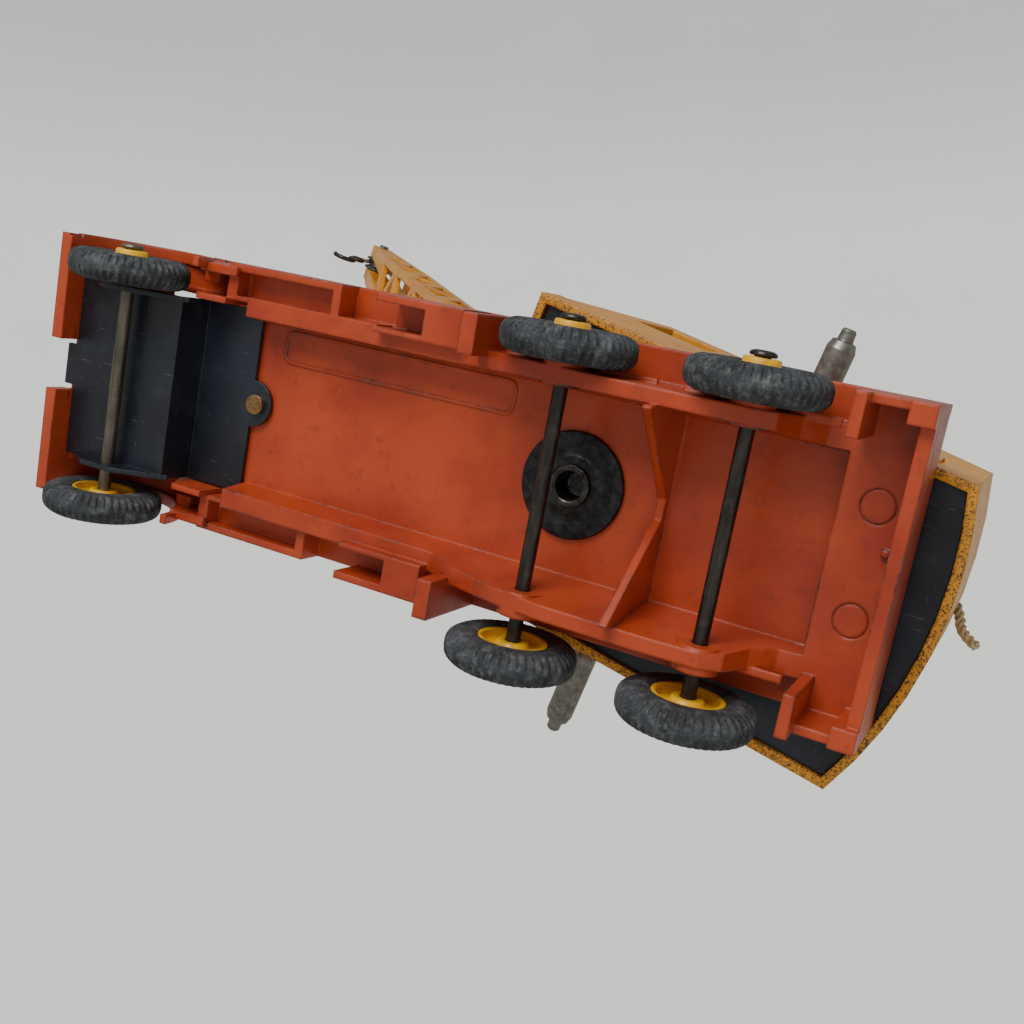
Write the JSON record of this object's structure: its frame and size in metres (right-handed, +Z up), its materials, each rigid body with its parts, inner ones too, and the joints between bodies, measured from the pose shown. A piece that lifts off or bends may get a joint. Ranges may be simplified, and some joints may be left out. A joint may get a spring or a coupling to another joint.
{
  "type": "toy lorry-mounted crane",
  "caption": "Die-cast toy lorry with a slewing crane: lattice jib, two hand winches, hoisting cord with hook, rubber-tyred wheels and an open channel chassis.",
  "frame": {"origin": "on the ground under the slewing axis of the crane, on the lorry's centreline", "axes": "+X to the front of the lorry, +Y to its left, +Z up"},
  "size_m": [0.1895, 0.0751, 0.1533],
  "materials": {
    "orange_paint": "gloss enamel on zinc casting, chipped at the edges",
    "yellow_paint": "gloss enamel on zinc casting, rim worn to dark metal",
    "yellow_hub": "gloss enamel, dirty in the dish",
    "black_tinplate": "blue-black japanned tinplate, bare at the cut edges",
    "brass": "tarnished",
    "tinned_steel": "dull plated, rubbed",
    "axle_steel": "dark tarnished",
    "cast_grey_metal": "plain die-cast, dull",
    "dull_steel": "dull, scratched",
    "tyre_rubber": "dusty moulded rubber",
    "cord": "twisted cotton, grubby"
  },
  "bodies": {
    "chassis": {"chassis_casting": "orange_paint", "base_plate": "black_tinplate", "base_plate_rivet": "brass", "pivot_rivet": "tinned_steel", "pivot_washer": "tinned_steel"},
    "crane": {"crane_house": "yellow_paint", "crane_base_plate": "black_tinplate", "turntable_ring": "black_tinplate", "roof_sheave_pin": "dull_steel", "hoist_cord_house": "cord", "luff_cord": "cord"},
    "roof_sheave": {"roof_sheave": "cast_grey_metal"},
    "luff_winch": {"luff_drum": "cast_grey_metal", "luff_crank": "dull_steel", "luff_grip": "dull_steel"},
    "hoist_winch": {"hoist_drum": "cast_grey_metal", "hoist_crank": "dull_steel", "hoist_grip": "dull_steel"},
    "jib": {"jib_frame": "yellow_paint", "jib_pin": "dull_steel", "head_pin": "dull_steel", "hoist_cord_jib": "cord"},
    "head_sheave": {"head_sheave": "cast_grey_metal"},
    "fall": {"hoist_cord_fall": "cord"},
    "hook": {"hook": "dull_steel"},
    "front_axle": {"front_axle": "axle_steel"},
    "middle_axle": {"middle_axle": "axle_steel"},
    "rear_axle": {"rear_axle": "axle_steel"},
    "wheel_front_left": {"hub_front_left": "yellow_hub", "tyre_front_left": "tyre_rubber"},
    "wheel_front_right": {"hub_front_right": "yellow_hub", "tyre_front_right": "tyre_rubber"},
    "wheel_middle_left": {"hub_middle_left": "yellow_hub", "tyre_middle_left": "tyre_rubber"},
    "wheel_middle_right": {"hub_middle_right": "yellow_hub", "tyre_middle_right": "tyre_rubber"},
    "wheel_rear_left": {"hub_rear_left": "yellow_hub", "tyre_rear_left": "tyre_rubber"},
    "wheel_rear_right": {"hub_rear_right": "yellow_hub", "tyre_rear_right": "tyre_rubber"}
  },
  "joints": [
    {"name": "slew", "type": "hinge", "parent": "chassis", "child": "crane", "pos_m": [0, 0, 0.022], "axis": [0, 0, 1], "continuous": true},
    {"name": "luff", "type": "hinge", "parent": "crane", "child": "jib", "pos_m": [0.02093, 0.00445, 0.028], "axis": [0.2079, -0.9781, 0], "range_deg": [-20, 26]},
    {"name": "luff_winch_turn", "type": "hinge", "parent": "crane", "child": "luff_winch", "pos_m": [-0.02543, -0.00541, 0.041], "axis": [-0.2079, 0.9781, 0], "continuous": true},
    {"name": "hoist_winch_turn", "type": "hinge", "parent": "crane", "child": "hoist_winch", "pos_m": [-0.0088, -0.00187, 0.041], "axis": [0.2079, -0.9781, 0], "range_deg": [0, 1600]},
    {"name": "roof_sheave_turn", "type": "hinge", "parent": "crane", "child": "roof_sheave", "pos_m": [-0.01369, -0.00291, 0.0685], "axis": [-0.2079, 0.9781, 0], "continuous": true},
    {"name": "head_sheave_turn", "type": "hinge", "parent": "jib", "child": "head_sheave", "pos_m": [0.12299, 0.02614, 0.1493], "axis": [-0.2079, 0.9781, 0], "range_deg": [0, 1710]},
    {"name": "hook_hang", "type": "hinge", "parent": "jib", "child": "fall", "pos_m": [0.12299, 0.02614, 0.1493], "axis": [0.2079, -0.9781, 0], "range_deg": [-26.5, 20.5]},
    {"name": "hoist", "type": "slide", "parent": "fall", "child": "hook", "axis": [0, 0, -1], "range_m": [0, 0.09], "deforming": ["hoist_cord_fall"]},
    {"name": "front_axle_spin", "type": "hinge", "parent": "chassis", "child": "front_axle", "pos_m": [0.0826, 0, 0.01], "axis": [0, 1, 0], "continuous": true},
    {"name": "middle_axle_spin", "type": "hinge", "parent": "chassis", "child": "middle_axle", "pos_m": [0.0007, 0, 0.01], "axis": [0, 1, 0], "continuous": true},
    {"name": "rear_axle_spin", "type": "hinge", "parent": "chassis", "child": "rear_axle", "pos_m": [-0.0268, 0, 0.01], "axis": [0, 1, 0], "continuous": true},
    {"name": "wheel_front_left_spin", "type": "hinge", "parent": "front_axle", "child": "wheel_front_left", "pos_m": [0.0826, 0.0187, 0.01], "axis": [0, 1, 0], "continuous": true},
    {"name": "wheel_front_right_spin", "type": "hinge", "parent": "front_axle", "child": "wheel_front_right", "pos_m": [0.0826, -0.0217, 0.01], "axis": [0, 1, 0], "continuous": true},
    {"name": "wheel_middle_left_spin", "type": "hinge", "parent": "middle_axle", "child": "wheel_middle_left", "pos_m": [0.0007, 0.0212, 0.01], "axis": [0, 1, 0], "continuous": true},
    {"name": "wheel_middle_right_spin", "type": "hinge", "parent": "middle_axle", "child": "wheel_middle_right", "pos_m": [0.0007, -0.025, 0.01], "axis": [0, 1, 0], "continuous": true},
    {"name": "wheel_rear_left_spin", "type": "hinge", "parent": "rear_axle", "child": "wheel_rear_left", "pos_m": [-0.0268, 0.0212, 0.01], "axis": [0, 1, 0], "continuous": true},
    {"name": "wheel_rear_right_spin", "type": "hinge", "parent": "rear_axle", "child": "wheel_rear_right", "pos_m": [-0.0268, -0.025, 0.01], "axis": [0, 1, 0], "continuous": true}
  ],
  "couplings": [
    {"joint": "hoist", "follows": "hoist_winch_turn", "m_per_rad": 0.0032},
    {"joint": "head_sheave_turn", "follows": "hoist_winch_turn", "ratio": 1.0667},
    {"joint": "hook_hang", "follows": "luff", "ratio": -1}
  ]
}
